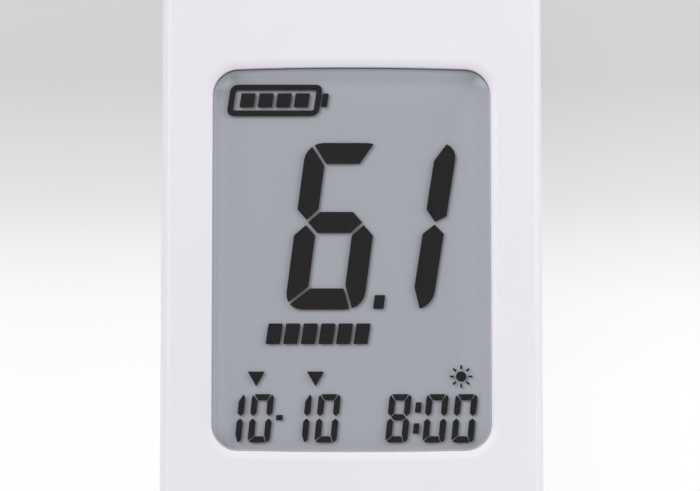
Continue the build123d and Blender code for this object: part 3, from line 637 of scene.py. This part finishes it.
def segment_cuts(across, up, half_width, half_height, stroke, gap, blunt, tips):
    """The cuts that leave one segment: its side across, and its place up the digit.

    Tips says, for the upper and the lower side segments, how far their tips keep from the
    middle, and the slopes of the two cuts that meet there, left and right.
    """
    inner = half_width - stroke
    back_off = gap / 2 - (blunt if up > 0 else 0)
    middle = half_height * MIDDLE_RISE
    if across == 0 and up == 0:
        tip = half_width - stroke / 2 - BAR_CLEARANCE * gap
        cuts = [((0, middle + stroke / 2), (0, -1)), ((0, middle - stroke / 2), (0, 1))]
        for side in (-1, 1):
            cuts += [((side * tip, middle), (-side, 1)), ((side * tip, middle), (-side, -1))]
        return cuts
    if across == 0:
        cuts = [((0, up * (half_height - stroke)), (0, up))]
        for side in (-1, 1):
            slope = CORNER_SLOPES[side, up]
            toward = Vector((-side * sin(slope), up * cos(slope)))
            corner = Vector((side * inner, up * (half_height - stroke)))
            cuts.append((corner + toward * back_off, toward))
        return cuts
    slope = CORNER_SLOPES[across, up]
    toward = Vector((across * sin(slope), -up * cos(slope)))
    corner = Vector((across * inner, up * (half_height - stroke)))
    apart, left, right = tips[up]
    tip = (across * (half_width - stroke / 2), middle + up * apart)
    return [(corner + toward * back_off, toward), ((across * inner, 0), (across, 0)),
            (tip, (sin(left), up * cos(left))), (tip, (-sin(right), up * cos(right)))]


class MarkSheet:
    """Collects flat marks, and turns them into one thin piece."""

    def __init__(self):
        self.shape = bmesh.new()

    def add(self, mark, place=(0, 0), lean=0.0):
        """Shear a flat mark by lean, move it to its place and add it to the sheet."""
        slant = Matrix(((1, lean, 0, place[0]), (0, 1, 0, place[1]), (0, 0, 1, 0), (0, 0, 0, 1)))
        bmesh.ops.transform(mark, matrix=slant, verts=mark.verts)
        bmesh.ops.recalc_face_normals(mark, faces=mark.faces)
        flat = bpy.data.meshes.new("mark")
        mark.to_mesh(flat)
        mark.free()
        self.shape.from_mesh(flat)
        bpy.data.meshes.remove(flat)

    def digit(self, figure, place, height, width, stroke, radius, gap, lean, blunt=0.0, tips=None):
        """Add a seven-segment figure whose middle is at place. Blunt lengthens its top segments."""
        tips = tips or {up: (gap, EVEN_TIP, EVEN_TIP) for up in (1, -1)}
        for name in LIT[figure]:
            panel = rounded_panel(width, height, radius)
            for point, toward in segment_cuts(*STROKES[name], width / 2, height / 2, stroke, gap,
                                              blunt, tips):
                keep_side(panel, point, toward)
            self.add(panel, place, lean)

    def piece(self, name, finish):
        """Give the marks their thickness below MARK_TOP and set them in the display."""
        for face in self.shape.faces:
            if face.normal.z < 0:
                face.normal_flip()
        bmesh.ops.translate(self.shape, vec=(0, 0, MARK_TOP), verts=self.shape.verts)
        bmesh.ops.solidify(self.shape, geom=self.shape.faces[:], thickness=MARK_THICKNESS)
        bmesh.ops.recalc_face_normals(self.shape, faces=self.shape.faces)
        marks = to_piece(self.shape, name, "case", finish)
        print(name, "faces", len(marks.data.polygons))


# %% Finish of the marks
mark_dark, tree, shader, place = new_finish("mark_dark")
dye = blend_colours(tree, spread(tree, noise(tree, place, 0.4 * MM, 3), 0, 1),
                    (0.0135, 0.012, 0.012), (0.018, 0.016, 0.017))
tree.links.new(dye, shader.inputs["Base Color"])
tree.links.new(spread(tree, noise(tree, place, 0.2 * MM, 2), 0.5, 0.7), shader.inputs["Roughness"])
shader.inputs["Specular IOR Level"].default_value = 0.1
roughen(tree, shader, noise(tree, place, 0.15 * MM, 2), 0.002 * MM)

# %% Reading
BIG = dict(height=20.26 * MM, width=9.55 * MM, stroke=2.56 * MM, radius=2.1 * MM)
BIG_MIDDLE = 10.81 * MM
SIX_LEAN, ONE_LEAN = 0.13, 0.157
POINT = dict(width=1.27 * MM, height=1.67 * MM, radius=0.1 * MM)
ONE_TIPS = {1: (0.05 * MM, radians(50), radians(29)), -1: (0.24 * MM, radians(42), radians(42))}
reading = MarkSheet()
reading.digit("6", (-2.05 * MM, BIG_MIDDLE), lean=SIX_LEAN, gap=0.31 * MM, **BIG)
reading.digit("1", (6.53 * MM, BIG_MIDDLE), lean=ONE_LEAN, gap=0.10 * MM, blunt=0.21 * MM,
              tips=ONE_TIPS, **BIG)
reading.add(rounded_panel(**POINT), (3.32 * MM, 1.60 * MM), SIX_LEAN)
reading.piece("reading_marks", mark_dark)

# %% Date and clock
SMALL = dict(height=5.81 * MM, width=2.67 * MM, stroke=0.75 * MM, radius=0.52 * MM, gap=0.12 * MM)
SMALL_MIDDLE = -12.43 * MM
SMALL_LEAN = 0.100
SMALL_FIGURES = (  # figure, and where it stands across, in millimetres
    ("1", -14.38), ("0", -10.93), ("1", -6.37), ("0", -2.90),
    ("8", 5.63), ("0", 10.10), ("0", 13.57))
DASH = dict(width=0.79 * MM, height=0.64 * MM, radius=0.05 * MM)
COLON_DOT = dict(width=0.70 * MM, height=1.26 * MM, radius=0.05 * MM)
COLON_PLACES = ((8.02 * MM, -11.13 * MM), (7.76 * MM, -13.66 * MM))
date = MarkSheet()
for figure, x in SMALL_FIGURES:
    date.digit(figure, (x * MM, SMALL_MIDDLE), lean=SMALL_LEAN, **SMALL)
date.add(rounded_panel(**DASH), (-8.70 * MM, -12.34 * MM), SMALL_LEAN)
for dot_place in COLON_PLACES:
    date.add(rounded_panel(**COLON_DOT), dot_place, SMALL_LEAN)
date.piece("date_and_clock_marks", mark_dark)

# %% [markdown]
# ## Signs on the display
#
# Small plain signs stand where a meter shows its state: a battery with its level at the top, a
# row of blocks under the reading for where it lies in its range, two pointers over the date, and
# a sun for the morning beside the clock. They are made of the same flat shapes as the digits.

# %% Battery sign and range blocks
SIGN_LEAN = 0.15
BATTERY = dict(width=11.2 * MM, height=3.86 * MM, radius=0.85 * MM, stroke=0.7 * MM)
BATTERY_PLACE = (-9.35 * MM, 26.15 * MM)
BATTERY_TIP = dict(width=0.75 * MM, height=1.7 * MM, radius=0.2 * MM)
BATTERY_TIP_PLACE = (-3.25 * MM, 26.15 * MM)
CHARGE_BLOCK = dict(width=1.75 * MM, height=1.75 * MM, radius=0.12 * MM)
CHARGE_PLACES = [((-12.65 + 2.2 * index) * MM, 26.15 * MM) for index in range(4)]
RANGE_BLOCK = dict(width=1.72 * MM, height=2.5 * MM, radius=0.12 * MM)
RANGE_PLACES = [((-9.35 + 2.12 * index) * MM, -2.25 * MM) for index in range(6)]


def flat_ring(width, height, radius, stroke):
    """A rounded outline of even width."""
    shape = rounded_panel(width, height, radius)
    inset = bmesh.ops.inset_region(shape, faces=shape.faces[:], thickness=stroke,
                                   use_boundary=True, use_even_offset=True)
    inside = [face for face in shape.faces if face not in inset["faces"]]
    bmesh.ops.delete(shape, geom=inside, context="FACES")
    return shape


signs = MarkSheet()
signs.add(flat_ring(**BATTERY), BATTERY_PLACE, SIGN_LEAN)
signs.add(rounded_panel(**BATTERY_TIP), BATTERY_TIP_PLACE, SIGN_LEAN)
for block_place in CHARGE_PLACES:
    signs.add(rounded_panel(**CHARGE_BLOCK), block_place, SIGN_LEAN)
for block_place in RANGE_PLACES:
    signs.add(rounded_panel(**RANGE_BLOCK), block_place, SIGN_LEAN)
print("charge blocks", len(CHARGE_PLACES), "range blocks", len(RANGE_PLACES))

# %% Date pointers and the sun
POINTER_PLACES = ((-11.5 * MM, -7.4 * MM), (-4.35 * MM, -7.4 * MM))
POINTER_RADIUS = 1.2 * MM
SUN_PLACE = (13.2 * MM, -7.4 * MM)
SUN_RADIUS = 0.62 * MM
SUN_RAYS = 8
RAY = dict(width=0.24 * MM, height=0.5 * MM, radius=0.06 * MM)
RAY_REACH = 1.12 * MM
for pointer_place in POINTER_PLACES:
    pointer = bmesh.new()
    bmesh.ops.create_circle(pointer, cap_ends=True, segments=3, radius=POINTER_RADIUS,
                            matrix=Matrix.Rotation(radians(180), 4, "Z"))
    signs.add(pointer, pointer_place)
sun_disc = bmesh.new()
bmesh.ops.create_circle(sun_disc, cap_ends=True, segments=32, radius=SUN_RADIUS)
signs.add(sun_disc, SUN_PLACE)
for index in range(SUN_RAYS):
    turn = Matrix.Rotation(index * 2 * pi / SUN_RAYS, 3, "Z")
    ray = rounded_panel(**RAY)
    bmesh.ops.translate(ray, vec=(0, RAY_REACH, 0), verts=ray.verts)
    bmesh.ops.rotate(ray, verts=ray.verts, cent=(0, 0, 0), matrix=turn)
    signs.add(ray, SUN_PLACE)
signs.piece("sign_marks", mark_dark)

# %% [markdown]
# ## Keys
#
# Three keys of matt plastic stand just proud of the front. Each has a plain sign sunk into its top
# and filled with paint. The floor of a sunk sign is the only flat face just under the key's top,
# so it is found by its height and takes the paint. The main key's top is a shallow round dish for
# the fingertip. Its solid has few faces there, so the dish is cut by a grid of planes, and each
# of its points is set to the height of the round.

# %% Key finishes
PAINT_GAIN = 1.12
key_grey = moulded("key_grey", (0.560, 0.570, 0.590), 0.38, grain=0.25 * MM, depth=0.004 * MM)
key_blue = moulded("key_blue", (0.215, 0.360, 0.620), 0.36, grain=0.25 * MM, depth=0.004 * MM)


def paint(name, colour):
    """Filled-in paint: flat and even, with a trace of brushing."""
    finish, tree, shader, place = new_finish(name)
    patch = spread(tree, noise(tree, place, 0.5 * MM, 3), 0, 1)
    lighter = tuple(min(1, channel * PAINT_GAIN) for channel in colour)
    tree.links.new(blend_colours(tree, patch, colour, lighter), shader.inputs["Base Color"])
    tree.links.new(spread(tree, noise(tree, place, 0.2 * MM, 3), 0.45, 0.65),
                   shader.inputs["Roughness"])
    roughen(tree, shader, noise(tree, place, 0.12 * MM, 3), 0.004 * MM)
    return finish


white_paint = paint("white_paint", (0.80, 0.80, 0.82))
grey_paint = paint("grey_paint", (0.10, 0.105, 0.115))

# %% Cut the main key's dish finely
KEY_DISH_RADIUS = 60 * MM
KEY_DISH_DEPTH = 0.2 * MM
KEY_DISH_STEP = 0.5 * MM
HAIR = 0.01 * MM
NEARLY_LEVEL = 0.98


def dish_finely(shape, low, high):
    """Cut the dished top of a key by a grid of planes, and set its points on the round."""
    middle = (low + high) / 2
    reach = (2 * KEY_DISH_RADIUS * KEY_DISH_DEPTH - KEY_DISH_DEPTH ** 2) ** 0.5
    steps = int(reach / KEY_DISH_STEP) + 1

    def in_dish(point):
        near = (point.xy - middle.xy).length < reach + HAIR
        return near and high.z - KEY_DISH_DEPTH - HAIR < point.z < high.z + HAIR

    for axis in (Vector((1, 0, 0)), Vector((0, 1, 0))):
        for step in range(-steps, steps + 1):
            faces = [face for face in shape.faces
                     if face.normal.z > NEARLY_LEVEL
                     and all(in_dish(vert.co) for vert in face.verts)]
            edges = {edge for face in faces for edge in face.edges}
            verts = {vert for face in faces for vert in face.verts}
            bmesh.ops.bisect_plane(shape, geom=[*faces, *edges, *verts], dist=SAME_POINT,
                                   plane_co=middle + axis * step * KEY_DISH_STEP, plane_no=axis)
    for vert in shape.verts:
        if in_dish(vert.co):
            out = (vert.co.xy - middle.xy).length
            round_height = KEY_DISH_RADIUS - (KEY_DISH_RADIUS ** 2 - out ** 2) ** 0.5
            vert.co.z = high.z - KEY_DISH_DEPTH + round_height
    print("main key faces", len(shape.faces), "dish reach in mm", round(reach / MM, 2))


# %% Shape the keys
SIGN_DEPTH = 0.15 * MM
for node, finish, ink, slot in (("main_key", key_blue, white_paint, "key_blue"),
                                ("left_key", key_grey, grey_paint, "key_grey"),
                                ("right_key", key_grey, grey_paint, "key_grey")):
    cap_shape = copy_of(node)
    low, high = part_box(node)
    sign_floor = high.z - SIGN_DEPTH
    if node == "main_key":
        dish_finely(cap_shape, low, high)
        sign_floor -= KEY_DISH_DEPTH
    cap = keep_flats(to_piece(cap_shape, node + "_cap", node, (finish, ink), (node,)))
    sunk = [face for face in cap.data.polygons
            if face.normal.z > LEVEL and abs(face.center.z - sign_floor) < HAIR]
    for face in sunk:
        face.material_index = 1
    print(cap.name, "painted faces", len(sunk), "of", len(cap.data.polygons))

# %% [markdown]
# ## Port, socket, screws, feet and label
#
# The small outer pieces each get their own finish: grey plastic round the strip port, black
# plastic with a tinned sleeve in the data socket, plated steel screws, soft grey feet and a blank
# film label with a fine border line. The steel is brushed by stretching a noise along one way.

# %% Finishes of metals and rubber
LINE_SHADE = 0.82


def metal(name, colour, gloss, grain=0.08 * MM, stretch=(1, 12, 1), depth=0.002 * MM):
    """Metal with fine lines along one axis, where the noise is stretched."""
    finish, tree, shader, place = new_finish(name)
    drawn = add_node(tree, "ShaderNodeMapping")
    drawn.inputs["Scale"].default_value = tuple(1 / factor for factor in stretch)
    tree.links.new(place, drawn.inputs["Vector"])
    lines = noise(tree, drawn.outputs["Vector"], grain, 3)
    darker = tuple(channel * LINE_SHADE for channel in colour)
    tree.links.new(blend_colours(tree, spread(tree, lines, 0, 1), darker, colour),
                   shader.inputs["Base Color"])
    shader.inputs["Metallic"].default_value = 1.0
    tree.links.new(spread(tree, lines, gloss * 0.75, gloss * 1.3), shader.inputs["Roughness"])
    roughen(tree, shader, lines, depth)
    return finish


screw_steel = metal("screw_steel", (0.60, 0.60, 0.61), 0.30)
tin_steel = metal("tin_steel", (0.68, 0.67, 0.66), 0.26)
cell_steel = metal("cell_steel", (0.72, 0.71, 0.70), 0.22, grain=0.15 * MM, stretch=(20, 1, 1))
gold_contact = metal("gold_contact", (0.86, 0.62, 0.27), 0.24)
rubber_grey = moulded("rubber_grey", (0.235, 0.240, 0.250), 0.72, grain=0.15 * MM, depth=0.010 * MM,
                      drift=0.10, broad=2 * MM)
bezel_grey = moulded("bezel_grey", (0.330, 0.340, 0.360), 0.42, grain=0.20 * MM, depth=0.005 * MM,
                     drift=0.05, broad=5 * MM)
black_plastic = moulded("black_plastic", (0.020, 0.020, 0.022), 0.45, grain=0.12 * MM,
                        depth=0.005 * MM, drift=0.15, broad=3 * MM)
print("metals and rubbers ready")

# %% Port bezel, socket, screws and feet
BEZEL_ROUNDING = 0.12 * MM
SOCKET_ROUNDING = 0.05 * MM
bezel = soften(copy_of("strip_port_bezel"), BEZEL_ROUNDING)
keep_flats(to_piece(bezel, "port_bezel", "case", bezel_grey, ("strip_port_bezel",)))
socket = soften(copy_of("data_socket"), SOCKET_ROUNDING, angle=60)
keep_flats(to_piece(socket, "socket_body", "case", black_plastic, ("data_socket",)))
for node, name, finish, slot in (("socket_sleeve", "socket_liner", tin_steel, "tin_steel"),
                                 ("case_screws", "shell_screws", screw_steel, "screw_steel"),
                                 ("feet", "rubber_feet", rubber_grey, "rubber_grey")):
    keep_flats(to_piece(copy_of(node), name, "case", finish, (node,)))

# %% Blank label
LABEL_MARGIN = 1.0 * MM
LABEL_LINE = 0.18 * MM
label_white = moulded("label_white", (0.740, 0.745, 0.750), 0.34, grain=0.30 * MM, depth=0.003 * MM,
                      drift=0.03, broad=6 * MM)
label_line = paint("label_line", (0.42, 0.43, 0.45))
label_shape = copy_of("back_label")
face_down = [face for face in label_shape.faces if face.normal.z < -LEVEL]
for margin, index in ((LABEL_MARGIN, 0), (LABEL_LINE, 1)):
    border = bmesh.ops.inset_region(label_shape, faces=face_down, thickness=margin,
                                    use_even_offset=True)
    for face in border["faces"]:
        face.material_index = index
    print("label border faces", len(border["faces"]))
to_piece(label_shape, "blank_label", "case", (label_white, label_line),
         ("back_label",))

# %% [markdown]
# ## Inside
#
# The pieces inside are seldom seen, but each has the finish that tells a repairer what it is: a
# green board with its copper under the mask, black chips, plated springs, steel coin cells, a
# striped rubber connector, soft foam round the display and a white holder.

# %% Board
TRACK_SPACING = 1.6 * MM
TRACK_START, TRACK_END = 0.05, 0.08
board_green, tree, shader, place = new_finish("board_green")
tracks = add_node(tree, "ShaderNodeTexVoronoi", feature="DISTANCE_TO_EDGE",
                  Scale=1 / TRACK_SPACING, Randomness=0.45)
tree.links.new(place, tracks.inputs["Vector"])
copper = ramp(tree, tracks.outputs["Distance"], TRACK_START, TRACK_END, 1.0, 0.0)
tree.links.new(blend_colours(tree, copper, (0.010, 0.085, 0.035), (0.030, 0.190, 0.075)),
               shader.inputs["Base Color"])
tree.links.new(spread(tree, noise(tree, place, 0.3 * MM), 0.28, 0.42), shader.inputs["Roughness"])
roughen(tree, shader, copper, 0.03 * MM, 0.6)
print("tracks of the board in mm", round(TRACK_SPACING / MM, 2))

# %% Rubber connector
elastomer, tree, shader, place = new_finish("elastomer")
stripes = add_node(tree, "ShaderNodeTexWave", Scale=1 / (0.6 * MM))
tree.links.new(place, stripes.inputs["Vector"])
tree.links.new(blend_colours(tree, stripes.outputs["Fac"], (0.030, 0.030, 0.032),
                             (0.560, 0.250, 0.230)), shader.inputs["Base Color"])
tree.links.new(spread(tree, noise(tree, place, 0.2 * MM), 0.5, 0.7), shader.inputs["Roughness"])
roughen(tree, shader, stripes.outputs["Fac"], 0.01 * MM)

# %% Foam, tape and the plain plastics
foam_dark, tree, shader, place = new_finish("foam_dark")
cells = add_node(tree, "ShaderNodeTexVoronoi", Scale=1 / (0.12 * MM))
tree.links.new(place, cells.inputs["Vector"])
tree.links.new(blend_colours(tree, cells.outputs["Distance"], (0.050, 0.050, 0.052),
                             (0.022, 0.022, 0.024)), shader.inputs["Base Color"])
tree.links.new(spread(tree, noise(tree, place, 0.2 * MM), 0.85, 0.98), shader.inputs["Roughness"])
roughen(tree, shader, cells.outputs["Distance"], 0.05 * MM)
inner_finishes = {
    "board_green": board_green, "elastomer": elastomer, "foam_dark": foam_dark,
    "tin_steel": tin_steel, "cell_steel": cell_steel, "gold_contact": gold_contact,
}
for name, *recipe in (  # colour, gloss, grain, depth, drift and the size of its broad patches
        ("chip_black", (0.018, 0.018, 0.020), 0.55, 0.10 * MM, 0.006 * MM, 0.15, 2 * MM),
        ("switch_black", (0.024, 0.024, 0.026), 0.40, 0.20 * MM, 0.004 * MM, 0.1),
        ("tape_dark", (0.050, 0.050, 0.055), 0.60, 0.15 * MM, 0.005 * MM, 0.1, 2 * MM),
        ("holder_white", (0.700, 0.700, 0.690), 0.50, 0.3 * MM, 0.004 * MM, 0.03),
        ("ceramic_tan", (0.420, 0.300, 0.190), 0.45, 0.08 * MM, 0.004 * MM, 0.1, 1 * MM)):
    inner_finishes[name] = moulded(name, *recipe)
for name, node in nodes.items():
    slot = node.data.materials[0].name
    if slot in inner_finishes:
        node.data.materials[0] = inner_finishes[slot]
        print(name, "is finished as", slot)
